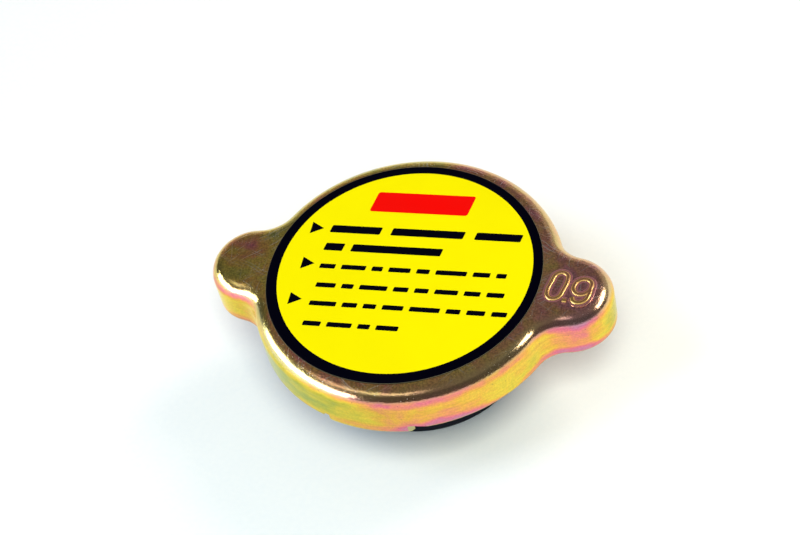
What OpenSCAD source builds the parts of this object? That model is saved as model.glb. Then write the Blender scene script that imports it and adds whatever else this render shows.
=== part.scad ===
// Pressure cap for a radiator filler neck.
// A pressed steel shell with two finger ears and two locking tabs carries, on one rivet,
// a spring disc with the neck gasket and a cage with the pressure valve and the vacuum valve.
// The axis is +Z, the ears point along X, and the cap stands on the foot of its valve at z = 0.

/* [Shell] */
// Outer diameter of the round skirt
shell_d = 62; // [56:0.5:70]
// Height of the skirt from its rim to the top face
shell_h = 10; // [9:0.25:13]
// Thickness of the sheet that the shell is pressed from
sheet_t = 1; // [0.7:0.05:1.3]
// Outer radius of the rounded top edge
edge_r = 4; // [2.5:0.25:5]
// How far each ear stands out past the skirt
ear_projection = 10; // [8:0.25:12]
// Radius of the ear's round tip
ear_r = 8.8; // [7:0.2:10]
// Radius of the hollow blend between an ear and the skirt
ear_blend_r = 6.5; // [4:0.25:9]

/* [Locking tabs] */
// Angle from the ears to the middle of a tab, in degrees
tab_at = 88; // [80:0.5:100]
// Arc that each tab takes of the skirt, in degrees, with its ramp
tab_arc = 33; // [24:1:44]
// Arc of the lead-in ramp at the tab's leading end, in degrees
tab_ramp_arc = 3.5; // [2.5:0.5:10]
// How far the fold of a tab reaches below the rim
tab_drop = 1.8; // [0.5:0.1:2.5]
// Reach of a tab inwards, from the outside of the skirt
tab_reach = 4.8; // [3.5:0.1:6]
// Outer radius of the fold
tab_bend_r = 1.4; // [1.4:0.1:2.2]
// Half the width of the relief notch at each end of a tab, and its height above the rim
notch_r = 0.65; // [0.4:0.05:1]
// How far the notch behind a tab's square end slopes out along the rim
notch_run = 2.6; // [1.5:0.1:4]
// How far the outer corner of a tab's square end is sheared back along the rim
tab_end_back = 1.0; // [0.5:0.1:1.5]
// Angle of that shear to a square cut
tab_end_skew = 40; // [0:5:50]

/* [Label] */
// Thickness of the round label
label_t = 0.15; // [0.1:0.05:0.4]
// How far the label reaches past the flat of the top face
label_lap = 0.5; // [0:0.1:0.8]
// How far the label sits off the middle, towards the right ear
label_off_x = -0.3; // [-0.5:0.1:0.5]
// How far the label sits off the middle, towards the far tab
label_off_y = -0.4; // [-0.5:0.1:0.5]

/* [Swivel] */
// Diameter of the rivet's shank
rivet_d = 6; // [4:0.5:8]
// Diameter of the rivet's upper head
rivet_head_d = 13; // [11:0.5:16]
// Room around the rivet's upper head in its dimple
dimple_margin = 1; // [0.5:0.25:2]
// Thickness of the rivet's upper head
rivet_head_t = 0.8; // [0.5:0.1:1.5]
// Diameter of the rivet's lower, swaged head
swage_d = 10; // [9:0.5:13]
// Thickness of the swaged head
swage_t = 1; // [0.6:0.1:2]
// Diameter of the swivel washer
washer_d = 16; // [12:0.5:22]
// Thickness of the swivel washer
washer_t = 0.4; // [0.3:0.05:0.8]

/* [Spring disc and neck gasket] */
// Thickness of the spring disc
disc_t = 0.4; // [0.25:0.05:0.7]
// How much lower the disc's outer ring lies than its centre
disc_dish = 0.6; // [0.2:0.1:1.2]
// Radial run of the disc's sloping step
disc_step_w = 2; // [1:0.25:4]
// Gap between the disc and the inside of the skirt
disc_gap = 1.7; // [1.2:0.1:3]
// Thickness of the neck gasket
gasket_t = 1.6; // [1:0.1:3]
// How far the disc covers the gasket's outer edge
gasket_inset = 0.3; // [0:0.1:1]

/* [Spring cage] */
// Outer radius of the fold at the cage's mouth
lip_bend_r = 1.2; // [1.1:0.1:1.8]
// Depth of the filler neck, from the gasket's face to the pressure seal's face
neck_depth = 20.2; // [18:0.2:26]
// Outer diameter of the cage
cage_d = 35; // [32:0.5:38]
// Thickness of the cage's sheet
cage_t = 0.8; // [0.6:0.1:1.1]
// Outer radius of the cage's upper corner
cage_corner_r = 1.8; // [1.4:0.1:3]
// Width of the lip turned in at the cage's mouth
lip_w = 2.5; // [1.8:0.1:3]
// Number of windows in the cage's wall
window_count = 4; // [3:1:6]
// Width of a window
window_w = 10; // [6:0.5:12]
// Solid wall left above and below a window
window_margin = 3; // [2:0.25:4]

/* [Pressure valve] */
// Travel of the pressure valve
valve_lift = 3; // [2:0.25:4]
// Diameter of the pressure seal
seal_d = 42; // [39:0.5:46]
// Thickness of the pressure seal
seal_t = 2.6; // [2:0.1:4]
// How far the sealing land stands below the clamped middle of the seal
seal_land_h = 0.4; // [0.2:0.1:0.8]
// Gap between the foot rim and the sealing land
seal_land_gap = 1; // [0.5:0.25:2]
// Radius on the edges of the pressure seal
seal_edge_r = 0.6; // [0.2:0.1:0.9]
// Thickness of the plate behind the seal
plate_t = 1; // [0.7:0.1:1.4]
// How far the seal stands out past its plate
plate_inset = 1.5; // [0.5:0.25:3]
// Thickness of the valve pan's sheet
pan_t = 0.8; // [0.6:0.1:1.1]
// Outer radius of the valve pan's lower corner
pan_corner_r = 1.2; // [1.1:0.1:1.6]
// Inner radius of the bend under the valve pan's flange
pan_flange_bend = 0.3; // [0.1:0.05:0.35]
// Wire diameter of the pressure spring
spring_wire = 2.2; // [1.8:0.1:2.4]
// Turns of the pressure spring
spring_turns = 5; // [4:0.5:5.5]

/* [Vacuum valve] */
// Travel of the vacuum valve
vacuum_drop = 1.5; // [1:0.1:1.8]
// Outer diameter of the eyelet's tube
eyelet_d = 10.8; // [9:0.2:12]
// Thickness of the eyelet's sheet
eyelet_t = 0.8; // [0.6:0.1:1]
// Outer diameter of the eyelet's foot rim
foot_d = 27; // [24:0.5:30]
// Outer radius of the bend into the foot rim
foot_bend_r = 1.3; // [1.1:0.1:1.6]
// Width that the eyelet's upper end is flared to, past its tube
flare_w = 1.8; // [1.5:0.1:2.2]
// Diameter of the vacuum valve's disc
poppet_d = 19; // [16:0.5:21]
// Thickness of the vacuum valve's disc
poppet_t = 0.65; // [0.5:0.05:1]
// Diameter of the vacuum valve's stem
stem_d = 3; // [2:0.25:4]
// Thickness of the head that is swaged on the stem's upper end
stem_head_t = 0.7; // [0.4:0.1:1.2]
// How far the stem's lower, riveted end stands out of the disc
stem_foot_t = 0.2; // [0.1:0.05:0.25]
// How far the vacuum seal stays inside the edge of its disc
vacuum_seal_inset = 0.3; // [0.1:0.1:1]
// Thickness of the vacuum seal
vacuum_seal_t = 0.8; // [0.6:0.1:1.2]
// Length of the vacuum spring
vacuum_spring_l = 4.6; // [4:0.2:6]
// Wire diameter of the vacuum spring
vacuum_wire = 0.6; // [0.4:0.05:0.7]
// Turns of the vacuum spring
vacuum_turns = 3.5; // [3:0.5:4.5]
// Thickness of the spring collar
collar_t = 0.6; // [0.4:0.1:1]
// Depth of the collar's turned-down rim
collar_rim = 1; // [0.6:0.1:1.4]

/* [Clearances] */
// Radial play of the shell on the rivet
run_gap = 0.05; // [0.02:0.01:0.1]
// Axial play between the shell and what is riveted to it
swivel_gap = 0.1; // [0.05:0.05:0.3]
// Gap between riveted or slipped-on pieces
fit_gap = 0.02; // [0.01:0.01:0.1]
// Gap at a valve's resting stop
stop_gap = 0.05; // [0.02:0.01:0.2]
// Side gap of a piece that slides past another
slide_gap = 0.4; // [0.3:0.05:0.6]
// Room left at the end of the pressure valve's travel
lift_gap = 0.4; // [0.3:0.1:1]
// Height of the vacuum valve's disc above the foot
foot_clear = 0.3; // [0.1:0.05:0.6]

/* [Hidden] */
$fn = 96;

gold_zinc = [0.80, 0.64, 0.28];
label_yellow = [1.00, 0.93, 0.02];
black_rubber = [0.07, 0.07, 0.08];
bright_steel = [0.72, 0.73, 0.75];
plain_brass = [0.78, 0.62, 0.30];

// Heights, from the foot upwards
seal_z = foot_clear + poppet_t + vacuum_seal_t + stop_gap + eyelet_t;
plate_z = seal_z + seal_t;
pan_z = plate_z + plate_t;
lip_z = pan_z + valve_lift + lift_gap;
flange_z = lip_z + cage_t + stop_gap;
land_z = seal_z - seal_land_h;
gasket_z = land_z + neck_depth;
disc_ring_z = gasket_z + gasket_t;
disc_z = disc_ring_z + disc_dish;
cage_top_z = disc_z;
washer_z = disc_z + disc_t;
dimple_z = washer_z + washer_t + swivel_gap;
dimple_depth = rivet_head_t + 2 * swivel_gap;
top_z = dimple_z + sheet_t + dimple_depth;
rim_z = top_z - shell_h;
tab_z = rim_z - tab_drop;
collar_z = pan_z + pan_t + eyelet_t + vacuum_spring_l;

// Radii, from the skirt inwards
skirt_r = shell_d / 2;
flat_r = skirt_r - edge_r;
disc_r = skirt_r - sheet_t - disc_gap;
cage_r = cage_d / 2;
cage_in_r = cage_r - cage_t;
lip_r = cage_in_r - lip_w;
pan_flange_r = cage_in_r - slide_gap;
pan_r = lip_r - slide_gap;
spring_r = pan_r - pan_corner_r - spring_wire / 2;
seal_r = seal_d / 2;
eyelet_r = eyelet_d / 2;
flare_r = eyelet_r + flare_w;
dimple_r = rivet_head_d / 2 + dimple_margin;
stem_r = stem_d / 2;
vacuum_spring_r = eyelet_r - eyelet_t / 2 + vacuum_wire / 2;
collar_r = vacuum_spring_r + vacuum_wire / 2 + slide_gap + collar_t;

// The blend arc touches both the skirt and the ear. The angles where the arcs meet are rounded
// to a hundredth of a degree, and the ear and the blend then take their exact places from them.
blend_from_skirt = skirt_r + ear_blend_r;
blend_from_ear = ear_r + ear_blend_r;
ear_near_x = skirt_r + ear_projection - ear_r;
blend_near_x = (pow(blend_from_skirt, 2) - pow(blend_from_ear, 2) + pow(ear_near_x, 2)) / (2 * ear_near_x);
blend_near_y = sqrt(pow(blend_from_skirt, 2) - pow(blend_near_x, 2));
skirt_end_a = round(100 * atan2(blend_near_y, blend_near_x)) / 100;
ear_end_a = round(100 * atan2(blend_near_y, blend_near_x - ear_near_x)) / 100;
blend_x = blend_from_skirt * cos(skirt_end_a);
blend_y = blend_from_skirt * sin(skirt_end_a);
ear_x = blend_x - blend_y / tan(ear_end_a);
ear_arc_r = blend_y / sin(ear_end_a) - ear_blend_r;

// A tab runs against the closing direction from its ramp, and the second is half a turn on
tab_start_a = tab_at - tab_arc / 2;
tab_end_a = tab_at + tab_arc / 2;

// Flat of the top that each part of the skirt carries, and how far the top plate lies over it
flat_w = 0.8;
flat_lap = 0.4;

// Quarter of a bent sheet's section, round the origin, in the quadrant given by two signs
module bend_section(outer_r, thickness, side_x, side_y) {
    intersection() {
        difference() {
            circle(r = outer_r);
            circle(r = outer_r - thickness);
        }
        translate([side_x < 0 ? -outer_r : 0, side_y < 0 ? -outer_r : 0])
            square(outer_r);
    }
}

// Section of the skirt above a height, with x measured inwards from its outside
module skirt_section(from_z) {
    translate([0, from_z])
        square([sheet_t, top_z - edge_r - from_z]);
    translate([edge_r, top_z - edge_r])
        bend_section(edge_r, sheet_t, -1, 1);
    translate([edge_r, top_z - sheet_t])
        square([flat_w, sheet_t]);
}

// Section of the skirt where a tab is folded in below it
module tab_section() {
    skirt_section(tab_z + tab_bend_r);
    translate([tab_bend_r, tab_z + tab_bend_r])
        bend_section(tab_bend_r, sheet_t, -1, -1);
    translate([tab_bend_r, tab_z])
        square([tab_reach - tab_bend_r, sheet_t]);
}

// Moves in a coarse and a fine step, so that neighbours meet exactly
module fine_move(x, y) {
    coarse_x = round(100 * x) / 100;
    coarse_y = round(100 * y) / 100;
    translate([coarse_x, coarse_y]) translate([x - coarse_x, y - coarse_y]) children();
}

// Sweeps a section along an arc that the wall stands round, from one angle to another
module outward_sweep(arc_r, from_a, to_a) {
    rotate_extrude(angle = to_a - from_a, start = from_a)
        fine_move(arc_r, 0) mirror([1, 0]) children();
}

// Sweeps a section along an arc whose centre lies outside the wall
module inward_sweep(arc_r, from_a, to_a) {
    rotate_extrude(angle = to_a - from_a, start = from_a)
        fine_move(arc_r, 0) children();
}

// Half of the skirt's wall: one ear with its two blends, then the round part with its tab
module half_skirt() {
    fine_move(ear_x, 0)
        outward_sweep(ear_arc_r, -ear_end_a, ear_end_a) skirt_section(rim_z);
    for (side = [0, 1])
        mirror([0, side, 0]) fine_move(blend_x, blend_y)
            inward_sweep(ear_blend_r, 180 + skirt_end_a, 180 + ear_end_a) skirt_section(rim_z);
    outward_sweep(skirt_r, skirt_end_a, tab_start_a) skirt_section(rim_z);
    outward_sweep(skirt_r, tab_start_a, tab_end_a) tab_section();
    outward_sweep(skirt_r, tab_end_a, 180 - skirt_end_a) skirt_section(rim_z);
}

// Outline of the shell seen from above, drawn in by a distance
module shell_outline(inset) {
    difference() {
        union() {
            circle(r = skirt_r - inset);
            for (side = [-1, 1]) {
                translate([side * ear_x, 0]) circle(r = ear_arc_r - inset);
                polygon([
                    [0, 0], [side * blend_x, blend_y],
                    [side * ear_x, 0], [side * blend_x, -blend_y]
                ]);
            }
        }
        for (side_x = [-1, 1], side_y = [-1, 1])
            translate([side_x * blend_x, side_y * blend_y])
                circle(r = ear_blend_r + inset);
    }
}

// Cut through the skirt's wall, outwards at an angle, by a section along the rim and upwards from it.
// A skew turns the cut about the wall's outer face.
module wall_cut(at_a, skew) {
    rotate([0, 0, at_a])
        translate([skirt_r, 0, rim_z]) rotate([0, 0, -skew])
            translate([-tab_reach - 1, 0, 0]) rotate([90, 0, 90])
                linear_extrude(height = tab_reach + 2) children();
}

// Relief notch at each end of a tab, cut up past the rim; behind the square end it slopes back down
module tab_notches() {
    low = -tab_reach;
    wall_cut(tab_start_a, 0)
        translate([-notch_r, low]) square([2 * notch_r, notch_r - low]);
    along = cos(tab_end_skew);
    wall_cut(tab_end_a, tab_end_skew)
        polygon([
            [-tab_end_back * along, low], [-tab_end_back * along, notch_r], [0, notch_r],
            [2 * notch_run * along, -notch_r], [2 * notch_run * along, low]
        ]);
}

// Slope that makes a tab's leading end a ramp
module tab_ramp() {
    ramp_l = skirt_r * tab_ramp_arc * PI / 180;
    ramp_a = atan2(tab_drop, ramp_l);
    cut_h = tab_drop + sheet_t + tab_bend_r;
    rotate([0, 0, tab_start_a])
        translate([0, 0, rim_z]) rotate([-ramp_a, 0, 0])
            translate([skirt_r - tab_reach - 1, notch_r / 2, -cut_h])
                cube([tab_reach + 2, ramp_l + 1, cut_h]);
}

// Pressed steel shell: top, rounded edge, skirt, ears, tabs and the dimple for the rivet
module cap_shell() {
    color(gold_zinc) difference() {
        union() {
            for (turn = [0, 180])
                rotate([0, 0, turn]) half_skirt();
            translate([0, 0, top_z - sheet_t])
                linear_extrude(height = sheet_t) shell_outline(edge_r + flat_w - flat_lap);
            translate([0, 0, dimple_z])
                cylinder(r = dimple_r + sheet_t, h = dimple_depth + sheet_t / 2);
        }
        translate([0, 0, dimple_z + sheet_t])
            cylinder(r = dimple_r, h = dimple_depth + 1);
        translate([0, 0, dimple_z - 1])
            cylinder(r = rivet_d / 2 + run_gap, h = sheet_t + 2);
        for (turn = [0, 180])
            rotate([0, 0, turn]) {
                tab_notches();
                tab_ramp();
            }
    }
}

// Round printed label on the top face
module label() {
    color(label_yellow)
        translate([label_off_x, label_off_y, top_z]) cylinder(r = flat_r + label_lap, h = label_t);
}

// Rivet that the shell turns on, swaged under the cage's top
module rivet() {
    head_z = dimple_z + sheet_t + swivel_gap;
    swage_z = cage_top_z - cage_t - swage_t;
    color(bright_steel) {
        translate([0, 0, swage_z]) cylinder(d = rivet_d, h = head_z - swage_z + rivet_head_t);
        translate([0, 0, head_z]) cylinder(d = rivet_head_d, h = rivet_head_t);
        translate([0, 0, swage_z]) cylinder(d = swage_d, h = swage_t);
    }
}

// Flat ring from a height, with a hole
module flat_ring(outer_r, inner_r, z, h) {
    translate([0, 0, z]) difference() {
        cylinder(r = outer_r, h = h);
        translate([0, 0, -1]) cylinder(r = inner_r, h = h + 2);
    }
}

// Washer between the spring disc and the shell
module swivel_washer() {
    color(plain_brass)
        flat_ring(washer_d / 2, rivet_d / 2 + fit_gap, washer_z, washer_t);
}

// Thin spring disc, flat on the cage and stepped down to the gasket
module spring_disc() {
    step_r = cage_r + disc_step_w / 2;
    color(bright_steel) rotate_extrude() polygon([
        [rivet_d / 2 + fit_gap, disc_z],
        [step_r, disc_z],
        [step_r + disc_step_w, disc_ring_z],
        [disc_r, disc_ring_z],
        [disc_r, disc_ring_z + disc_t],
        [step_r + disc_step_w, disc_ring_z + disc_t],
        [step_r, disc_z + disc_t],
        [rivet_d / 2 + fit_gap, disc_z + disc_t]
    ]);
}

// Rubber ring that seals on the top of the filler neck
module neck_gasket() {
    color(black_rubber)
        flat_ring(disc_r - gasket_inset, cage_r + fit_gap, gasket_z, gasket_t);
}

// Section of the cage: top, corner, wall and the lip at its mouth
module cage_section() {
    wall_top_z = cage_top_z - cage_corner_r;
    translate([rivet_d / 2 + fit_gap, cage_top_z - cage_t])
        square([cage_r - cage_corner_r - rivet_d / 2 - fit_gap, cage_t]);
    translate([cage_r - cage_corner_r, wall_top_z])
        bend_section(cage_corner_r, cage_t, 1, 1);
    translate([cage_in_r, lip_z + lip_bend_r])
        square([cage_t, wall_top_z - lip_z - lip_bend_r]);
    translate([cage_r - lip_bend_r, lip_z + lip_bend_r])
        bend_section(lip_bend_r, cage_t, 1, -1);
    translate([lip_r, lip_z])
        square([cage_r - lip_bend_r - lip_r, cage_t]);
}

// Window with a round head and foot, cut outwards through the cage's wall
module cage_window() {
    corner_r = window_w / 4;
    low_z = lip_z + cage_t + window_margin;
    high_z = gasket_z - window_margin;
    translate([pan_r, 0, 0]) rotate([90, 0, 90])
        linear_extrude(height = cage_r) {
            translate([-window_w / 2, low_z + corner_r])
                square([window_w, high_z - low_z - 2 * corner_r]);
            translate([-window_w / 2 + corner_r, low_z])
                square([window_w - 2 * corner_r, high_z - low_z]);
            for (x = [-1, 1], z = [low_z + corner_r, high_z - corner_r])
                translate([x * (window_w / 2 - corner_r), z]) circle(r = corner_r);
        }
}

// Cage that holds the pressure spring and catches the valve pan on its lip
module spring_cage() {
    color(gold_zinc) difference() {
        rotate_extrude() cage_section();
        for (i = [0 : window_count - 1])
            rotate([0, 0, (i + 0.5) * 360 / window_count]) cage_window();
    }
}

// Height of a coil's centre line after some turns: the end turns lie close, the rest are open
function coil_z(turn, turns, closed, low, high, pitch) =
    let (open_pitch = (high - low - 2 * closed * pitch) / (turns - 2 * closed))
    low + min(turn, closed) * pitch
        + max(0, min(turn, turns - closed) - closed) * open_pitch
        + max(0, turn - turns + closed) * pitch;

// Round wire wound into a coil between two heights
module coil(mean_r, wire, low_z, high_z, turns, sides, steps) {
    closed = 0.75;
    rings = round(turns * steps);
    points = [
        for (i = [0 : rings], k = [0 : sides - 1])
            let (
                turn = turns * i / rings,
                around = 360 * turn,
                across = 360 * k / sides,
                r = mean_r + wire / 2 * cos(across),
                z = coil_z(turn, turns, closed, low_z + wire / 2, high_z - wire / 2, wire * 1.08)
            )
            [r * cos(around), r * sin(around), z + wire / 2 * sin(across)]
    ];
    walls = [
        for (i = [0 : rings - 1], k = [0 : sides - 1])
            let (a = i * sides + k, b = i * sides + (k + 1) % sides)
            each [[a, b, b + sides], [a, b + sides, a + sides]]
    ];
    first_end = [for (k = [0 : sides - 1]) sides - 1 - k];
    last_end = [for (k = [0 : sides - 1]) rings * sides + k];
    polyhedron(points = points, faces = concat(walls, [first_end, last_end]), convexity = 10);
}

// Strong spring that keeps the pressure valve shut
module pressure_spring() {
    color(bright_steel)
        coil(spring_r, spring_wire, pan_z + pan_t, cage_top_z - cage_t, spring_turns, 10, 30);
}

// Pan inside the cage: the spring stands in it and its flange rests on the cage's lip
module valve_pan() {
    floor_r = pan_r - pan_corner_r;
    wall_z = pan_z + pan_corner_r;
    flange_r = pan_r + pan_flange_bend;
    wall_top_z = flange_z - pan_flange_bend;
    color(gold_zinc) rotate_extrude() {
        translate([eyelet_r + fit_gap, pan_z])
            square([floor_r - eyelet_r - fit_gap, pan_t]);
        translate([floor_r, wall_z])
            bend_section(pan_corner_r, pan_t, 1, -1);
        translate([pan_r - pan_t, wall_z])
            square([pan_t, wall_top_z - wall_z]);
        translate([flange_r, wall_top_z])
            bend_section(pan_flange_bend + pan_t, pan_t, -1, 1);
        translate([flange_r, flange_z])
            square([pan_flange_r - flange_r, pan_t]);
    }
}

// Steel plate that backs the pressure seal
module seal_plate() {
    color(gold_zinc)
        flat_ring(seal_r - plate_inset, eyelet_r + fit_gap, plate_z, plate_t);
}

// Rubber ring with a raised land that closes on the seat inside the filler neck
module pressure_seal() {
    land_r = foot_d / 2 + seal_land_gap;
    edge_x = seal_r - seal_edge_r;
    color(black_rubber) rotate_extrude() {
        translate([eyelet_r + fit_gap, seal_z])
            square([edge_x - eyelet_r - fit_gap, seal_t]);
        translate([land_r, land_z])
            square([edge_x - land_r, plate_z - land_z]);
        translate([edge_x - seal_edge_r, land_z + seal_edge_r])
            square([2 * seal_edge_r, plate_z - land_z - 2 * seal_edge_r]);
        for (z = [land_z + seal_edge_r, plate_z - seal_edge_r])
            translate([edge_x, z]) circle(r = seal_edge_r);
    }
}

// Eyelet that clamps pan, plate and seal together; its turned-down rim is the cap's foot
module seal_eyelet() {
    flare_z = pan_z + pan_t;
    foot_r = foot_d / 2;
    color(bright_steel) rotate_extrude() {
        translate([eyelet_r - eyelet_t, seal_z - eyelet_t])
            square([eyelet_t, flare_z + eyelet_t - seal_z + eyelet_t]);
        translate([eyelet_r - eyelet_t, flare_z])
            square([flare_r - eyelet_r + eyelet_t, eyelet_t]);
        translate([eyelet_r - eyelet_t, seal_z - eyelet_t])
            square([foot_r - foot_bend_r - eyelet_r + eyelet_t, eyelet_t]);
        translate([foot_r - foot_bend_r, seal_z - foot_bend_r])
            bend_section(foot_bend_r, eyelet_t, 1, 1);
        translate([foot_r - eyelet_t, 0])
            square([eyelet_t, seal_z - foot_bend_r]);
    }
}

// Vacuum valve: a disc under the eyelet on a stem that is headed over the collar
module vacuum_poppet() {
    color(plain_brass) {
        translate([0, 0, foot_clear]) cylinder(d = poppet_d, h = poppet_t);
        translate([0, 0, foot_clear])
            cylinder(r = stem_r, h = collar_z + collar_t + stem_head_t - foot_clear);
        translate([0, 0, collar_z + collar_t]) cylinder(r = 1.5 * stem_r, h = stem_head_t);
        translate([0, 0, foot_clear - stem_foot_t]) cylinder(r = 1.5 * stem_r, h = stem_foot_t + poppet_t);
    }
}

// Rubber washer that closes the vacuum valve against the eyelet
module vacuum_seal() {
    color(black_rubber)
        flat_ring(poppet_d / 2 - vacuum_seal_inset, stem_r + fit_gap, foot_clear + poppet_t, vacuum_seal_t);
}

// Light spring that holds the vacuum valve up
module vacuum_spring() {
    color(bright_steel)
        coil(vacuum_spring_r, vacuum_wire, pan_z + pan_t + eyelet_t, collar_z, vacuum_turns, 8, 20);
}

// Collar on the stem that the vacuum spring pushes up
module spring_collar() {
    color(plain_brass) rotate_extrude() {
        translate([stem_r + fit_gap, collar_z])
            square([collar_r - stem_r - fit_gap, collar_t]);
        translate([collar_r - collar_t, collar_z - collar_rim])
            square([collar_t, collar_rim + collar_t]);
    }
}

cap_shell();
label();
rivet();
swivel_washer();
spring_disc();
neck_gasket();
spring_cage();
pressure_spring();
valve_pan();
seal_plate();
pressure_seal();
seal_eyelet();
vacuum_poppet();
vacuum_seal();
vacuum_spring();
spring_collar();
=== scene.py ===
import math

import bmesh
import bpy
from mathutils import Matrix, Vector


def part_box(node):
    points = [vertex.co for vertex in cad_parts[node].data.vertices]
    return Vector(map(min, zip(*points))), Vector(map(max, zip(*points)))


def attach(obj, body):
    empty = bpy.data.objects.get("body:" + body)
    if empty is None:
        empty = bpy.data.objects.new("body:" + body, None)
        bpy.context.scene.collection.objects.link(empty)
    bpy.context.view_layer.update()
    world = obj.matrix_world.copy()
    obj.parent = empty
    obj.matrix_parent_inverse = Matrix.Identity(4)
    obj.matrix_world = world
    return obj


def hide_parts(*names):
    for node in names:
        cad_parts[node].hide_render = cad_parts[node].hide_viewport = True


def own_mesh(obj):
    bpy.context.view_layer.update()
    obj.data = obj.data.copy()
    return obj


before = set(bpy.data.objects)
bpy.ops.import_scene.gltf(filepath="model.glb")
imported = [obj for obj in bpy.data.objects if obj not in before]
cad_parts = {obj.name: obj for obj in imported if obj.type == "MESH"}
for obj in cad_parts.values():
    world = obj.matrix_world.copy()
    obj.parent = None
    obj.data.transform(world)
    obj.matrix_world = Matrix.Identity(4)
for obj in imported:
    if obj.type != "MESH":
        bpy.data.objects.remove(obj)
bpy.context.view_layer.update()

MM = 0.001

# Heights and places in metres: the shell's top and the label come from the frame
SKIRT_HEIGHT = 10 * MM
EAR_REACH = 41 * MM
TOP_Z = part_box("cap_shell")[1][2]
RIM_Z = TOP_Z - SKIRT_HEIGHT
LABEL_LOW, LABEL_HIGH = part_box("label")
LABEL_R = (LABEL_HIGH[0] - LABEL_LOW[0]) / 2
LABEL_X = (LABEL_HIGH[0] + LABEL_LOW[0]) / 2
LABEL_Y = (LABEL_HIGH[1] + LABEL_LOW[1]) / 2

# The near tab's sheared end faces this way, in degrees, at this distance from the cap's axis
TAB_END_FACES = 334.5
TAB_END_OUT = 19.16 * MM

# The raised number on the right ear: its middle, and how far its stained surround reaches
NUMBER_CENTRE = (33.0 * MM, -0.8 * MM)
NUMBER_REACH = (5.6 * MM, 5.2 * MM)

# Colours of the zinc where it is dulled, scratched bare, pitted, dusty, or cut through to the
# sheet; the cut-sheet colour along the rim is also a painted highlight on the rim's edge
DULL_ZINC = (0.60, 0.44, 0.34)
BARE_ZINC = (0.86, 0.84, 0.78)
PITTED_ZINC = (0.20, 0.17, 0.10)
DUSTY_ZINC = (0.90, 0.88, 0.80)
CUT_SHEET_AND_RIM_HIGHLIGHT = (0.46, 0.42, 0.20)

# The film's colour at each share of its greatest thickness
FILM_COLOURS = (
    (0.00, (0.34, 0.42, 0.10)), (0.18, (0.59, 0.54, 0.06)), (0.34, (0.84, 0.62, 0.06)),
    (0.50, (0.86, 0.46, 0.07)), (0.66, (0.87, 0.31, 0.15)), (0.82, (0.78, 0.18, 0.26)),
    (1.00, (0.60, 0.22, 0.36)))

# Drift of the film along the skirt, by the share of the way from left ear to right; a half is none
FILM_DRIFT = (
    (0.00, 0.46), (0.13, 0.46), (0.19, 0.12), (0.26, 0.14), (0.32, 0.18), (0.38, 0.34),
    (0.43, 0.46), (0.51, 0.51), (0.57, 0.69), (0.69, 0.68), (0.74, 0.58), (0.78, 0.43),
    (0.84, 0.43), (0.89, 0.74), (0.95, 0.80), (0.985, 0.48), (1.00, 0.28))

# Middle height and half-width of the pink bands at the rim and under the rounded edge
LOW_BAND = (RIM_Z + 0.2 * MM, 1.8 * MM)
HIGH_BAND = (RIM_Z + 7.5 * MM, 1.7 * MM)

# A thin clear coat over the zinc
COAT = {"Coat Weight": 0.15, "Coat Roughness": 0.18}


# Node helpers

def set_inputs(node, values):
    for name, value in values.items():
        node.inputs[name].default_value = value


def add_node(tree, kind, inputs=None, **settings):
    node = tree.nodes.new("ShaderNode" + kind)
    for name, value in settings.items():
        setattr(node, name, value)
    set_inputs(node, inputs or {})
    return node


def feed(tree, socket, value):
    """Set a socket to a number or a colour, or link another node's output to it."""
    if isinstance(value, (int, float)):
        socket.default_value = value
    elif isinstance(value, tuple):
        socket.default_value = (*value, 1)
    else:
        tree.links.new(value, socket)


def math_node(tree, operation, *values, clamp=False):
    node = add_node(tree, "Math", operation=operation, use_clamp=clamp)
    for socket, value in zip(node.inputs, values):
        feed(tree, socket, value)
    return node.outputs[0]


def plus(tree, first, second, clamp=False):
    return math_node(tree, "ADD", first, second, clamp=clamp)


def minus(tree, first, second):
    return math_node(tree, "SUBTRACT", first, second)


def times(tree, first, second):
    return math_node(tree, "MULTIPLY", first, second)


def times_plus(tree, first, second, added):
    return math_node(tree, "MULTIPLY_ADD", first, second, added)


def larger(tree, first, second):
    return math_node(tree, "MAXIMUM", first, second)


def magnitude(tree, value):
    return math_node(tree, "ABSOLUTE", value)


def split_axes(tree, vector):
    node = add_node(tree, "SeparateXYZ")
    tree.links.new(vector, node.inputs[0])
    return node.outputs


def noise_node(tree, vector, scale, detail=2.0, rough=0.5, distortion=0.0):
    node = add_node(tree, "TexNoise", {"Scale": scale, "Detail": detail, "Roughness": rough,
                                       "Distortion": distortion})
    tree.links.new(vector, node.inputs["Vector"])
    return node.outputs["Fac"]


def mapped(tree, vector, scale=(1, 1, 1), turn=(0, 0, 0), shift=(0, 0, 0)):
    node = add_node(tree, "Mapping", {"Scale": scale, "Rotation": turn, "Location": shift})
    tree.links.new(vector, node.inputs["Vector"])
    return node.outputs["Vector"]


def ramp_between(tree, value, low, high, to_low=0.0, to_high=1.0, shape="SMOOTHSTEP"):
    node = add_node(tree, "MapRange", interpolation_type=shape)
    set_inputs(node, {"From Min": low, "From Max": high, "To Min": to_low, "To Max": to_high})
    tree.links.new(value, node.inputs["Value"])
    return node.outputs["Result"]


def colour_ramp(tree, value, stops):
    node = add_node(tree, "ValToRGB")
    ramp = node.color_ramp
    while len(ramp.elements) > 1:
        ramp.elements.remove(ramp.elements[-1])
    ramp.elements[0].position = stops[0][0]
    ramp.elements[0].color = (*stops[0][1], 1)
    for place, colour in stops[1:]:
        ramp.elements.new(place).color = (*colour, 1)
    tree.links.new(value, node.inputs["Fac"])
    return node.outputs["Color"]


def mix_colour(tree, share, first, second, blend="MIX"):
    node = add_node(tree, "Mix", data_type="RGBA", blend_type=blend)
    for slot, value in ((0, share), (6, first), (7, second)):
        feed(tree, node.inputs[slot], value)
    return node.outputs[2]


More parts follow.
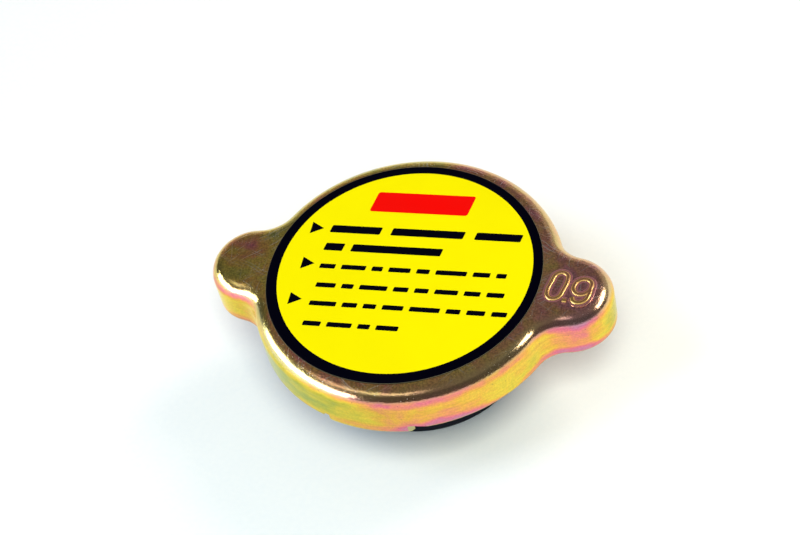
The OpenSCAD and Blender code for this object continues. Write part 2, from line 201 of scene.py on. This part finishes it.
def new_group(name, inputs, outputs):
    group = bpy.data.node_groups.new(name, "ShaderNodeTree")
    for label, kind, value in inputs:
        socket = group.interface.new_socket(label, in_out="INPUT", socket_type=kind)
        if value is not None:
            socket.default_value = value
    for label, kind in outputs:
        group.interface.new_socket(label, in_out="OUTPUT", socket_type=kind)
    start = group.nodes.new("NodeGroupInput")
    end = group.nodes.new("NodeGroupOutput")
    return group, start, end


def use_group(tree, group, vector, **values):
    node = tree.nodes.new("ShaderNodeGroup")
    node.node_tree = group
    tree.links.new(vector, node.inputs["Vector"])
    for name, value in values.items():
        feed(tree, node.inputs[name.capitalize()], value)
    return node


def new_material(name, **values):
    material = bpy.data.materials.new(name)
    material.use_nodes = True
    tree = material.node_tree
    tree.nodes.clear()
    shader = add_node(tree, "BsdfPrincipled")
    out = add_node(tree, "OutputMaterial")
    tree.links.new(shader.outputs["BSDF"], out.inputs["Surface"])
    set_inputs(shader, values)
    place = add_node(tree, "TexCoord").outputs["Object"]
    return material, tree, shader, place


def rough_by(tree, shader, cloud, low, high):
    """Roughness that follows a cloud from a low value to a high one."""
    tree.links.new(ramp_between(tree, cloud, 0.3, 0.7, low, high), shader.inputs["Roughness"])


def bump_from(tree, shader, height, strength, distance):
    node = add_node(tree, "Bump", {"Strength": strength, "Distance": distance})
    tree.links.new(height, node.inputs["Height"])
    tree.links.new(node.outputs["Normal"], shader.inputs["Normal"])


# Shared effects

def make_scratches():
    """Hairline scratches, slightly curved, in three directions and in patches."""
    group, start, end = new_group(
        "hairline_scratches",
        [("Vector", "NodeSocketVector", None), ("Amount", "NodeSocketFloat", 0.5)],
        [("Mask", "NodeSocketFloat")])
    place = start.outputs["Vector"]
    bend = add_node(group, "TexNoise", {"Scale": 110.0, "Detail": 1.0})
    group.links.new(place, bend.inputs["Vector"])
    bent = add_node(group, "VectorMath", operation="MULTIPLY_ADD")
    group.links.new(bend.outputs["Color"], bent.inputs[0])
    bent.inputs[1].default_value = (4.0 * MM, 4.0 * MM, 0)
    group.links.new(place, bent.inputs[2])
    total = None
    for turn, shift in ((0.35, 0.0), (1.5, 2.1), (2.4, 4.7)):
        turned = mapped(group, bent.outputs["Vector"], turn=(0, 0, turn))
        line = mapped(group, turned, (60, 4600, 0), shift=(shift, shift, shift))
        thin = ramp_between(group, noise_node(group, line, scale=1.0, detail=0.0), 0.68, 0.73)
        where = noise_node(group, place, scale=120 + 60 * turn, detail=1.0)
        mask = times(group, thin, ramp_between(group, where, 0.46, 0.60))
        total = mask if total is None else larger(group, total, mask)
    group.links.new(times(group, total, start.outputs["Amount"]), end.inputs["Mask"])
    return group


def make_specks():
    """Scattered small spots, such as dust and pitting."""
    group, start, end = new_group(
        "small_specks",
        [("Vector", "NodeSocketVector", None), ("Scale", "NodeSocketFloat", 900.0),
         ("Size", "NodeSocketFloat", 0.2)],
        [("Mask", "NodeSocketFloat")])
    cells = add_node(group, "TexVoronoi", {"Randomness": 1.0})
    group.links.new(start.outputs["Vector"], cells.inputs["Vector"])
    group.links.new(start.outputs["Scale"], cells.inputs["Scale"])
    pick = add_node(group, "SeparateColor")
    group.links.new(cells.outputs["Color"], pick.inputs["Color"])
    chosen = ramp_between(group, pick.outputs["Red"], 0.80, 0.84)
    near = math_node(group, "LESS_THAN", cells.outputs["Distance"], start.outputs["Size"])
    group.links.new(times(group, near, chosen), end.inputs["Mask"])
    return group


def make_film():
    """Interference colours of a chromate film, from green through yellow and pink to violet."""
    group, start, end = new_group(
        "chromate_film",
        [("Vector", "NodeSocketVector", None), ("Thickness", "NodeSocketFloat", 0.4),
         ("Cloud", "NodeSocketFloat", 0.3)],
        [("Colour", "NodeSocketColor"), ("Patch", "NodeSocketFloat")])
    place = start.outputs["Vector"]
    wide = noise_node(group, place, scale=80, detail=3.0, rough=0.55, distortion=0.8)
    small = noise_node(group, place, scale=380, detail=2.0, rough=0.5, distortion=0.4)
    cloud = plus(group, times(group, wide, 0.7), times(group, small, 0.3))
    swing = times(group, times(group, minus(group, cloud, 0.5), 2.4), start.outputs["Cloud"])
    film = plus(group, start.outputs["Thickness"], swing, clamp=True)
    group.links.new(colour_ramp(group, film, FILM_COLOURS), end.inputs["Colour"])
    group.links.new(wide, end.inputs["Patch"])
    return group


SCRATCHES = make_scratches()
SPECKS = make_specks()
FILM = make_film()


# Finishes

def band(tree, height, centre, half_width):
    """One at a height, falling to nothing a half-width above and below it."""
    return ramp_between(tree, magnitude(tree, minus(tree, height, centre)), half_width, 0.0)


def number_halo(tree, along, across):
    """One round the raised number on the ear, falling to nothing outside it."""
    terms = []
    for place, centre, reach in zip((along, across), NUMBER_CENTRE, NUMBER_REACH):
        off = math_node(tree, "DIVIDE", minus(tree, place, centre), reach)
        terms.append(math_node(tree, "POWER", magnitude(tree, off), 3.0))
    return ramp_between(tree, plus(tree, *terms), 1.25, 0.5)


def cut_edges_and_rim_highlight(tree, along, across, height):
    """Bare sheet on the square end of each locking tab, and a pale band along the rim that is
    partly bare sheet and partly a painted highlight on the rim's edge.
    """
    # Pale band just above the rim: bare cut sheet, and a painted highlight on the rim's edge
    at_rim = ramp_between(tree, height, RIM_Z + 0.26 * MM, RIM_Z + 0.08 * MM)
    off_tabs = ramp_between(tree, magnitude(tree, across), 29.5 * MM, 29.2 * MM)
    bare_rim_and_highlight = times(tree, times(tree, at_rim, off_tabs), 0.7)
    facing = math.radians(TAB_END_FACES)
    towards = times_plus(tree, along, math.cos(facing), times(tree, across, math.sin(facing)))
    towards = times(tree, towards, math_node(tree, "SIGN", across))
    off_end = magnitude(tree, plus(tree, towards, TAB_END_OUT))
    at_end = ramp_between(tree, off_end, 0.14 * MM, 0.08 * MM)
    at_tab = ramp_between(tree, height, RIM_Z + 0.7 * MM, RIM_Z + 0.5 * MM)
    return larger(tree, bare_rim_and_highlight, times(tree, at_end, at_tab))


def shell_thickness(tree, place, along, across, height, flat):
    """Film on the shell: thick in wavy bands along its edges, and drifting from ear to ear."""
    cloud = noise_node(tree, place, scale=75, detail=3.0, rough=0.6)
    wavy = plus(tree, height, times(tree, minus(tree, cloud, 0.5), 5.0 * MM))
    low = times(tree, band(tree, wavy, *LOW_BAND), times_plus(tree, along, 10.0, 1.0))
    high = times(tree, band(tree, wavy, *HIGH_BAND), 0.9)
    left_ear = larger(tree, times(tree, along, -44.0), 1.0)
    edges = times(tree, larger(tree, low, high), left_ear)
    sideways = ramp_between(tree, along, -EAR_REACH, EAR_REACH, shape="LINEAR")
    drift = colour_ramp(tree, sideways, [(share, (grey,) * 3) for share, grey in FILM_DRIFT])
    drift = times(tree, minus(tree, drift, 0.5), minus(tree, 1.0, flat))
    thickness = plus(tree, times_plus(tree, edges, 0.30, 0.38), drift)
    on_flat = plus(tree, times(tree, along, 3.6), 0.16)
    thickness = times_plus(tree, flat, on_flat, thickness)
    halo = times(tree, number_halo(tree, along, across), flat)
    return times_plus(tree, halo, 0.15, thickness)


def shell_zinc():
    material, tree, shader, place = new_material(
        "zinc_shell", Metallic=1.0, **COAT, **{"Specular Tint": (1.0, 0.97, 0.66, 1)})
    along, across, height = split_axes(tree, place)
    flat = ramp_between(tree, height, TOP_Z - 1.2 * MM, TOP_Z - 0.05 * MM)
    rounded = ramp_between(tree, height, TOP_Z - 2.9 * MM, TOP_Z - 1.8 * MM)

    # Film, drawn streaks and the dull, sandy top
    film = use_group(tree, FILM, mapped(tree, place, (1, 1, 1.7)),
                     thickness=shell_thickness(tree, place, along, across, height, flat),
                     cloud=times_plus(tree, flat, 0.40, 0.42))
    streak = noise_node(tree, mapped(tree, place, (45, 45, 2400)), scale=1.0, rough=0.6)
    streaks = ramp_between(tree, streak, 0.3, 0.7, 0.83, 0.95)
    colour = mix_colour(tree, 1.0, film.outputs["Colour"], streaks, "MULTIPLY")
    dull = times_plus(tree, flat, -0.26, times_plus(tree, along, 3.0, 0.54))
    colour = mix_colour(tree, times(tree, dull, rounded), colour, DULL_ZINC)
    grain = noise_node(tree, place, scale=2700, rough=0.6)
    sandy = times_plus(tree, ramp_between(tree, grain, 0.3, 0.7, -0.30, 0.30),
                       times_plus(tree, flat, 0.7, 0.3), 1.0)
    colour = mix_colour(tree, 1.0, colour, sandy, "MULTIPLY")

    # Wear: scratches on the flat, pits all over, dust in patches, and the cut edges, whose pale
    # band along the rim is partly a painted edge highlight
    scratch = use_group(tree, SCRATCHES, place, amount=0.5)
    marks = times(tree, scratch.outputs["Mask"], flat)
    colour = mix_colour(tree, marks, colour, BARE_ZINC)
    speck = use_group(tree, SPECKS, place, scale=1000.0, size=0.13)
    pits = times(tree, speck.outputs["Mask"], 0.6)
    colour = mix_colour(tree, pits, colour, PITTED_ZINC)
    grit = use_group(tree, SPECKS, mapped(tree, place, shift=(0.013, 0.007, 0)),
                     scale=2600.0, size=0.22)
    dusty = ramp_between(tree, noise_node(tree, place, scale=210), 0.42, 0.62)
    dust = times(tree, grit.outputs["Mask"], times(tree, dusty, rounded))
    colour = mix_colour(tree, times(tree, dust, 0.5), colour, DUSTY_ZINC)
    colour = mix_colour(tree, cut_edges_and_rim_highlight(tree, along, across, height), colour, CUT_SHEET_AND_RIM_HIGHLIGHT)
    tree.links.new(colour, shader.inputs["Base Color"])

    rough = ramp_between(tree, film.outputs["Patch"], 0.3, 0.7, 0.13, 0.20)
    for mask, added in ((pits, 0.3), (marks, 0.2), (dust, 0.35)):
        rough = times_plus(tree, mask, added, rough)
    tree.links.new(rough, shader.inputs["Roughness"])

    relief = noise_node(tree, place, scale=1000)
    for mask, depth in ((grain, times_plus(tree, flat, 1.2, 0.4)), (streak, 0.5), (marks, -0.6)):
        relief = times_plus(tree, mask, depth, relief)
    bump_from(tree, shader, relief, 0.5, 0.05 * MM)
    return material


def number_zinc(name, thickness, dull, satin, shoulder_height, shoulder_share):
    """Zinc of the raised number, with a partly non-metallic band of colour round a height above the
    top face: on the number's ridges it is a painted highlight along their shoulders, on the low
    foot a pink band.
    """
    material, tree, shader, place = new_material(name, **COAT)
    height = split_axes(tree, place)[2]
    # Band on the shoulders, partly non-metallic: a painted gold highlight on the number, a pink
    # band on its foot
    shoulder = band(tree, height, TOP_Z + shoulder_height, 1.4 * shoulder_height)
    film = use_group(tree, FILM, place, thickness=thickness, cloud=0.6)
    colour = mix_colour(tree, dull, film.outputs["Colour"], DULL_ZINC)
    colour = mix_colour(tree, shoulder, colour, satin)
    tree.links.new(colour, shader.inputs["Base Color"])
    tree.links.new(times_plus(tree, shoulder, -shoulder_share, 1.0), shader.inputs["Metallic"])
    rough_by(tree, shader, film.outputs["Patch"], 0.24, 0.32)
    bump_from(tree, shader, noise_node(tree, place, scale=5200, rough=0.6), 0.3, 0.04 * MM)
    return material


def inner_zinc():
    material, tree, shader, place = new_material("zinc_inner", Metallic=1.0)
    film = use_group(tree, FILM, place, thickness=0.42, cloud=0.4)
    scratch = use_group(tree, SCRATCHES, place, amount=0.2)
    colour = mix_colour(tree, scratch.outputs["Mask"], film.outputs["Colour"], BARE_ZINC)
    tree.links.new(colour, shader.inputs["Base Color"])
    rough_by(tree, shader, film.outputs["Patch"], 0.2, 0.32)
    drawn = noise_node(tree, mapped(tree, place, (60, 60, 2000)), scale=1.0)
    bump_from(tree, shader, drawn, 0.12, 0.03 * MM)
    return material


def plain_metal(name, light, dark, rough, stretch):
    """Cloudy metal between two colours, with scratches and stretched drawing marks."""
    material, tree, shader, place = new_material(name, Metallic=1.0)
    cloud = noise_node(tree, place, scale=260, detail=3.0, rough=0.55, distortion=0.5)
    colour = colour_ramp(tree, cloud, [(0.3, dark), (0.7, light)])
    scratch = use_group(tree, SCRATCHES, place, amount=0.5)
    colour = mix_colour(tree, scratch.outputs["Mask"], colour, (0.9, 0.9, 0.9))
    tree.links.new(colour, shader.inputs["Base Color"])
    rough_by(tree, shader, cloud, *rough)
    drawn = noise_node(tree, mapped(tree, place, stretch), scale=1.0)
    bump_from(tree, shader, drawn, 0.15, 0.02 * MM)
    return material


def rubber():
    material, tree, shader, place = new_material("moulded_rubber", **{"Specular IOR Level": 0.06})
    cloud = noise_node(tree, place, scale=180, detail=3.0)
    grit = use_group(tree, SPECKS, place, scale=1500.0, size=0.14)
    colour = colour_ramp(tree, cloud, [(0.3, (0.003, 0.004, 0.009)), (0.75, (0.007, 0.008, 0.016))])
    dust = times(tree, grit.outputs["Mask"], 0.4)
    colour = mix_colour(tree, dust, colour, (0.06, 0.06, 0.07))
    tree.links.new(colour, shader.inputs["Base Color"])
    rough_by(tree, shader, cloud, 0.42, 0.6)
    bump_from(tree, shader, noise_node(tree, place, scale=3200), 0.2, 0.03 * MM)
    return material


def printed(name, colour, worn, roughness, gloss=0.12):
    """Printed ink that drifts from one colour to a worn one."""
    material, tree, shader, place = new_material(name, **{"Specular IOR Level": gloss})
    cloud = noise_node(tree, place, scale=60, detail=3.0)
    ink = colour_ramp(tree, cloud, [(0.35, colour), (0.8, worn)])
    tree.links.new(ink, shader.inputs["Base Color"])
    rough_by(tree, shader, cloud, roughness, roughness + 0.1)
    bump_from(tree, shader, noise_node(tree, place, scale=900), 0.08, 0.02 * MM)
    return material


ZINC_SHELL = shell_zinc()
# The number's shoulder band is a painted gold highlight along its strokes
ZINC_NUMBER = number_zinc("zinc_number", thickness=0.62, dull=0.3, satin=(0.82, 0.50, 0.14),
                          shoulder_height=0.13 * MM, shoulder_share=0.65)
ZINC_FOOT = number_zinc("zinc_number_foot", thickness=0.80, dull=0.45, satin=(0.50, 0.17, 0.20),
                        shoulder_height=0.03 * MM, shoulder_share=0.30)
ZINC_INNER = inner_zinc()
STEEL = plain_metal("bright_steel", light=(0.74, 0.74, 0.73), dark=(0.56, 0.56, 0.56),
                    rough=(0.18, 0.3), stretch=(900, 900, 60))
WIRE = plain_metal("spring_steel", light=(0.50, 0.50, 0.51), dark=(0.34, 0.34, 0.36),
                   rough=(0.24, 0.36), stretch=(300, 300, 900))
BRASS = plain_metal("plain_brass", light=(0.80, 0.60, 0.26), dark=(0.60, 0.42, 0.17),
                    rough=(0.22, 0.36), stretch=(700, 700, 90))
RUBBER = rubber()
YELLOW = printed("label_yellow", (0.83, 0.725, 0.0), (0.79, 0.68, 0.0), 0.34, 0.04)
BLACK = printed("label_black", (0.0002, 0.0002, 0.0026), (0.0005, 0.0005, 0.0036), 0.30, 0.03)
RED = printed("label_red", (0.79, 0.002, 0.001), (0.73, 0.004, 0.002), 0.34, 0.04)
FILM_EDGE = printed("label_edge", (0.10, 0.085, 0.05), (0.07, 0.06, 0.035), 0.40)

FINISHES = {
    "cap_shell": ZINC_SHELL, "spring_cage": ZINC_INNER, "valve_pan": ZINC_INNER,
    "seal_plate": ZINC_INNER, "rivet": STEEL, "seal_eyelet": STEEL, "spring_disc": WIRE,
    "swivel_washer": BRASS, "vacuum_poppet": BRASS, "spring_collar": BRASS,
    "neck_gasket": RUBBER, "pressure_seal": RUBBER, "vacuum_seal": RUBBER,
}
for node_name, finish in FINISHES.items():
    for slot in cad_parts[node_name].material_slots:
        slot.material = finish


# Pieces

def finish_piece(name, mesh, materials, body, replaced=()):
    mesh_data = bpy.data.meshes.new(name)
    mesh.to_mesh(mesh_data)
    mesh.free()
    for material in materials:
        mesh_data.materials.append(material)
    piece = bpy.data.objects.new(name, mesh_data)
    bpy.context.scene.collection.objects.link(piece)
    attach(piece, body)
    if replaced:
        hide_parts(*replaced)
    return piece


def spun_profile(points, steps=160):
    """Closed piece of revolution about Z from a profile of (radius, height) points."""
    mesh = bmesh.new()
    line = [mesh.verts.new((r, 0, z)) for r, z in points]
    edges = [mesh.edges.new(pair) for pair in zip(line, line[1:])]
    bmesh.ops.spin(mesh, geom=line + edges, cent=(0, 0, 0), axis=(0, 0, 1), angle=2 * math.pi,
                   steps=steps, use_merge=True)
    bmesh.ops.remove_doubles(mesh, verts=mesh.verts, dist=1e-7)
    bmesh.ops.recalc_face_normals(mesh, faces=mesh.faces)
    return mesh


# The label's layers, each a print's thickness above the one below, and its slightly turned lines
PRINT_T = 0.02 * MM
FIELD_Z = LABEL_HIGH[2] - 2 * PRINT_T
PRINT_Z = LABEL_HIGH[2] - PRINT_T
FIELD_R = LABEL_R - 2.1 * MM
FIELD_PLACE = (LABEL_X + 0.08 * MM, LABEL_Y + 0.22 * MM, 0)
LABEL_TURN = math.radians(2.2)

# Print in mm: the heading and the long bars run from x to x, the short ones are lengths from an x
HEADING = (-10.2, 10.0, 17.0, 5.2)
LONG_ROWS = (
    (9.3, ((-17.4, -7.0), (-4.8, 10.0), (12.3, 21.6))),
    (4.6, ((-17.6, -13.7), (-12.0, 6.4))))
SHORT_ROWS = (
    (-0.4, -17.4, (3.2, 5.0, 2.2, 4.4, 2.6, 6.2, 3.4, 2.0)),
    (-5.2, -17.0, (4.0, 2.4, 5.6, 3.0, 2.8, 4.6, 3.2, 3.4)),
    (-9.8, -17.2, (5.4, 3.0, 2.6, 4.2, 6.0, 2.8, 3.6, 3.0)),
    (-14.8, -17.3, (3.6, 5.0, 2.4, 4.4)))
SHORT_GAP = 1.25
ARROWHEADS = ((-20.7, 9.3), (-20.4, 0.1), (-20.7, -9.0))


def make_label():
    """Black film with a thin cut edge, and the yellow field printed on it."""
    edge_r = LABEL_R - 0.08 * MM
    film = spun_profile([
        (0, FIELD_Z), (edge_r, FIELD_Z), (LABEL_R, FIELD_Z - 0.04 * MM), (LABEL_R, LABEL_LOW[2]),
        (0, LABEL_LOW[2])])
    for face in film.faces:
        face.material_index = 0 if face.normal.z > 0.95 else 1
    bmesh.ops.translate(film, vec=(LABEL_X, LABEL_Y, 0), verts=film.verts)
    finish_piece("label_film", film, [BLACK, FILM_EDGE], "cap", ["label"])
    field = spun_profile([(0, PRINT_Z), (FIELD_R, PRINT_Z), (FIELD_R, FIELD_Z), (0, FIELD_Z)])
    bmesh.ops.translate(field, vec=FIELD_PLACE, verts=field.verts)
    finish_piece("label_field", field, [YELLOW], "cap")


def add_bar(mesh, x0, x1, y, height, lean, corner):
    """Flat printed bar from x0 to x1 round a height y, in the label's own lines."""
    made = bmesh.ops.create_cube(mesh, size=1.0)["verts"]
    bmesh.ops.scale(mesh, vec=(x1 - x0, height, PRINT_T), verts=made)
    upright = [e for e in mesh.edges if all(v in made for v in e.verts)
               and abs(e.verts[0].co.z - e.verts[1].co.z) > PRINT_T / 2]
    turn = Matrix.Rotation(LABEL_TURN, 4, "Z")
    move = Matrix.Translation(((x0 + x1) / 2, y, PRINT_Z + PRINT_T / 2))
    shear = Matrix.Identity(4)
    shear[0][1] = lean
    bmesh.ops.transform(mesh, matrix=turn @ move @ shear, verts=made)
    bmesh.ops.bevel(mesh, geom=upright, offset=corner, offset_type="OFFSET", affect="EDGES",
                    segments=3, profile=0.5, material=-1)


def add_arrowhead(mesh, x, y, size):
    made = bmesh.ops.create_cone(mesh, cap_ends=True, segments=3, radius1=size, radius2=size,
                                 depth=PRINT_T)["verts"]
    tip = max(made, key=lambda v: v.co.length).co
    turn = Matrix.Rotation(LABEL_TURN - math.atan2(tip.y, tip.x), 4, "Z")
    place = Matrix.Rotation(LABEL_TURN, 4, "Z") @ Vector((x, y, PRINT_Z + PRINT_T / 2))
    bmesh.ops.transform(mesh, matrix=Matrix.Translation(place) @ turn, verts=made)


def make_print():
    heading = bmesh.new()
    x0, x1, y, height = (size * MM for size in HEADING)
    add_bar(heading, x0, x1, y, height, lean=0.18, corner=0.5 * MM)
    finish_piece("label_heading", heading, [RED], "cap")
    lines = bmesh.new()
    for y, bars in LONG_ROWS:
        for x0, x1 in bars:
            add_bar(lines, x0 * MM, x1 * MM, y * MM, 1.9 * MM, lean=0.18, corner=0.25 * MM)
    for y, x, lengths in SHORT_ROWS:
        for length in lengths:
            add_bar(lines, x * MM, (x + length) * MM, y * MM, 1.15 * MM, lean=0.12, corner=0.2 * MM)
            x += length + SHORT_GAP
    for x, y in ARROWHEADS:
        add_arrowhead(lines, x * MM, y * MM, 1.75 * MM)
    finish_piece("label_lines", lines, [BLACK], "cap")


# Strokes of the raised number as (x, y) points in mm, and whether each closes on itself
NUMBER_STROKES = (
    (((30.9, 2.7), (32.0, 2.2), (32.3, 1.2), (31.9, -1.6), (31.4, -3.2), (30.3, -3.9),
      (29.2, -3.4), (28.9, -2.2), (29.3, 0.4), (29.8, 2.1)), True),
    (((35.6, 1.5), (36.8, 1.0), (37.1, -0.4), (36.4, -1.8), (35.1, -2.3), (34.0, -1.6),
      (33.8, -0.2), (34.4, 1.0)), True),
    (((37.05, -0.6), (37.0, -2.2), (36.4, -3.7), (35.3, -4.3), (34.3, -4.0), (33.9, -3.2)), False),
    (((32.2, -4.05), (33.0, -4.1)), False))


def ridge_mesh(strokes, half_width, rise):
    """Raised rounded ridges that follow strokes, sunk into the top face."""
    shape = bpy.data.curves.new("ridge_path", "CURVE")
    shape.dimensions = "3D"
    shape.bevel_depth = half_width
    shape.bevel_resolution = 4
    shape.resolution_u = 8
    shape.use_fill_caps = True
    for points, closed in strokes:
        spline = shape.splines.new("BEZIER")
        spline.bezier_points.add(len(points) - 1)
        for knot, (x, y) in zip(spline.bezier_points, points):
            knot.co = (x * MM, y * MM, 0)
            knot.handle_left_type = knot.handle_right_type = "AUTO"
        spline.use_cyclic_u = closed
    path = bpy.data.objects.new("ridge_path", shape)
    bpy.context.scene.collection.objects.link(path)
    bpy.context.view_layer.update()
    evaluated = path.evaluated_get(bpy.context.evaluated_depsgraph_get())
    solid = bpy.data.meshes.new_from_object(evaluated)
    bpy.data.objects.remove(path)
    mesh = bmesh.new()
    mesh.from_mesh(solid)
    bpy.data.meshes.remove(solid)
    bmesh.ops.scale(mesh, vec=(1, 1, 2 * rise / half_width), verts=mesh.verts)
    bmesh.ops.translate(mesh, vec=(0, 0, TOP_Z - rise), verts=mesh.verts)
    return mesh


def make_ear_number():
    """The raised number, and the low foot that its strokes stand on."""
    for name, finish, half_width, rise in (
            ("ear_number", ZINC_NUMBER, 0.56 * MM, 0.34 * MM),
            ("ear_number_foot", ZINC_FOOT, 1.0 * MM, 0.08 * MM)):
        mesh = ridge_mesh(NUMBER_STROKES, half_width, rise)
        piece = finish_piece(name, mesh, [finish], "cap")
        for face in piece.data.polygons:
            face.use_smooth = True


# Spring wire: turns wound close at each end and their pitch in wire radii, and the mesh's fineness
CLOSE_TURNS = 0.75
CLOSE_PITCH = 2.16
WIRE_SIDES = 14
STEPS_PER_TURN = 40


def coil_mesh(mean_r, wire_r, low_z, high_z, turns):
    """Round wire wound by spins that climb: close turns at each end and open turns between."""
    mesh = bmesh.new()
    bmesh.ops.create_circle(mesh, cap_ends=False, segments=WIRE_SIDES, radius=wire_r)
    stand = Matrix.Translation((mean_r, 0, low_z + wire_r)) @ Matrix.Rotation(math.pi / 2, 4, "X")
    bmesh.ops.transform(mesh, matrix=stand, verts=mesh.verts)
    first_ring = list(mesh.edges)
    close_climb = CLOSE_TURNS * CLOSE_PITCH * wire_r
    open_climb = high_z - low_z - 2 * wire_r - 2 * close_climb
    front = list(mesh.verts) + first_ring
    for share, climb in ((CLOSE_TURNS, close_climb), (turns - 2 * CLOSE_TURNS, open_climb),
                         (CLOSE_TURNS, close_climb)):
        steps = round(share * STEPS_PER_TURN)
        spun = bmesh.ops.spin(mesh, geom=front, cent=(0, 0, 0), axis=(0, 0, 1),
                              dvec=(0, 0, climb / steps), angle=share * 2 * math.pi, steps=steps)
        front = [g for g in spun["geom_last"]
                 if isinstance(g, (bmesh.types.BMVert, bmesh.types.BMEdge))]
    last_ring = [g for g in front if isinstance(g, bmesh.types.BMEdge)]
    bmesh.ops.contextual_create(mesh, geom=first_ring)
    bmesh.ops.contextual_create(mesh, geom=last_ring)
    bmesh.ops.recalc_face_normals(mesh, faces=mesh.faces)
    for face in mesh.faces:
        face.smooth = len(face.verts) == 4
    return mesh


def make_spring(name, node, body, wire_r, turns):
    """Coil in a node's box, in place of the node and parented to its body."""
    low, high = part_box(node)
    mesh = coil_mesh(high[0] - wire_r, wire_r, low[2], high[2], turns)
    piece = finish_piece(name, mesh, [WIRE], body, [node])
    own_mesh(piece)


make_label()
make_print()
make_ear_number()
make_spring("pressure_coil", "pressure_spring", "carrier", wire_r=1.1 * MM, turns=5.0)
make_spring("vacuum_coil", "vacuum_spring", "pressure_valve", wire_r=0.3 * MM, turns=3.5)


# Stage, light and camera

FLOOR_HALF = 3.0
FLOOR_DROP = 0.02 * MM
LIGHT_DISTANCE = 0.9
SOFT_SIZE = (0.4, 0.4)

# Camera fitted to the outline, with its height counted from the top face
LENS_MM = 90.8
SENSOR_MM = 36.0
CAMERA_PLACE = (0.1140, -0.2347, 0.2949 + TOP_Z)
CAMERA_RIGHT = Vector((0.95255, 0.25134, -0.17170))
CAMERA_UP = Vector((-0.08561, 0.76254, 0.64125))


def make_floor():
    mesh = bmesh.new()
    bmesh.ops.create_grid(mesh, x_segments=1, y_segments=1, size=FLOOR_HALF)
    bmesh.ops.translate(mesh, vec=(0, 0, -FLOOR_DROP), verts=mesh.verts)
    data = bpy.data.meshes.new("floor")
    mesh.to_mesh(data)
    mesh.free()
    material, tree, shader, place = new_material("white_table", Roughness=0.6)
    cloud = noise_node(tree, place, scale=900)
    white = colour_ramp(tree, cloud, [(0.2, (0.93, 0.94, 0.95)), (0.8, (0.97, 0.97, 0.97))])
    tree.links.new(white, shader.inputs["Base Color"])
    data.materials.append(material)
    floor = bpy.data.objects.new("floor", data)
    bpy.context.scene.collection.objects.link(floor)


def make_light(name, azimuth, elevation, size, power, colour, mirrored):
    """Area light that either shows in the metal as a window or lights the floor and the print."""
    light = bpy.data.lights.new(name, "AREA")
    light.shape = "RECTANGLE"
    light.size, light.size_y = size
    light.energy = power
    light.color = colour
    lamp = bpy.data.objects.new(name, light)
    a, e = math.radians(azimuth), math.radians(elevation)
    towards = Vector((math.cos(a) * math.cos(e), math.sin(a) * math.cos(e), math.sin(e)))
    lamp.location = towards * LIGHT_DISTANCE + Vector((0, 0, TOP_Z))
    lamp.rotation_euler = towards.to_track_quat("Z", "Y").to_euler()
    lamp.visible_glossy = mirrored
    lamp.visible_diffuse = not mirrored
    bpy.context.scene.collection.objects.link(lamp)


def make_room():
    """Dim room: grey ceiling, darker sides, a paler wall behind, a bright band above in front."""
    world = bpy.data.worlds.new("studio_room")
    world.use_nodes = True
    tree = world.node_tree
    x, y, z = split_axes(tree, add_node(tree, "TexCoord").outputs["Generated"])
    ceiling = times(tree, ramp_between(tree, z, 0.42, 0.72), 0.17)
    wall = times(tree, ramp_between(tree, y, 0.35, 0.85), ramp_between(tree, z, 0.5, 0.25))
    wall = times(tree, wall, 0.35)
    strip = times(tree, ramp_between(tree, z, 0.60, 0.66), ramp_between(tree, z, 0.77, 0.71))
    strip = times(tree, strip, ramp_between(tree, y, -0.15, -0.4))
    strip = times(tree, strip, ramp_between(tree, x, 0.30, 0.06))
    total = plus(tree, plus(tree, ceiling, wall), times(tree, strip, 1.4))
    total = plus(tree, total, ramp_between(tree, z, 0.50, 0.75, 0.11, 0.02))
    back = tree.nodes["Background"]
    back.inputs["Color"].default_value = (1.0, 0.98, 0.96, 1)
    tree.links.new(total, back.inputs["Strength"])
    bpy.context.scene.world = world


def make_camera():
    data = bpy.data.cameras.new("photo_camera")
    data.sensor_width = SENSOR_MM
    data.lens = LENS_MM
    data.clip_start = 0.01
    camera = bpy.data.objects.new("photo_camera", data)
    back = CAMERA_RIGHT.cross(CAMERA_UP).normalized()
    turn = Matrix((CAMERA_RIGHT, CAMERA_UP, back)).transposed().to_4x4()
    camera.matrix_world = Matrix.Translation(CAMERA_PLACE) @ turn
    bpy.context.scene.collection.objects.link(camera)
    bpy.context.scene.camera = camera


make_floor()
make_light("left_window", -151, 11, (1.15, 0.31), 10.8, (0.92, 0.97, 1.0), mirrored=True)
make_light("right_window", 17, 24, (0.62, 0.19), 3.5, (1.0, 0.93, 0.90), mirrored=True)
make_light("soft_front", -60, 60, SOFT_SIZE, 5.25, (0.95, 1.0, 0.88), mirrored=False)
make_light("soft_low", -60, 36, SOFT_SIZE, 1.75, (0.66, 0.90, 1.0), mirrored=False)
make_light("soft_left", -155, 51, SOFT_SIZE, 2.65, (0.58, 0.73, 1.0), mirrored=False)
make_light("soft_right", 53, 38, SOFT_SIZE, 3.75, (1.0, 0.82, 0.67), mirrored=False)
make_room()
make_camera()
bpy.context.scene.view_settings.view_transform = "Standard"
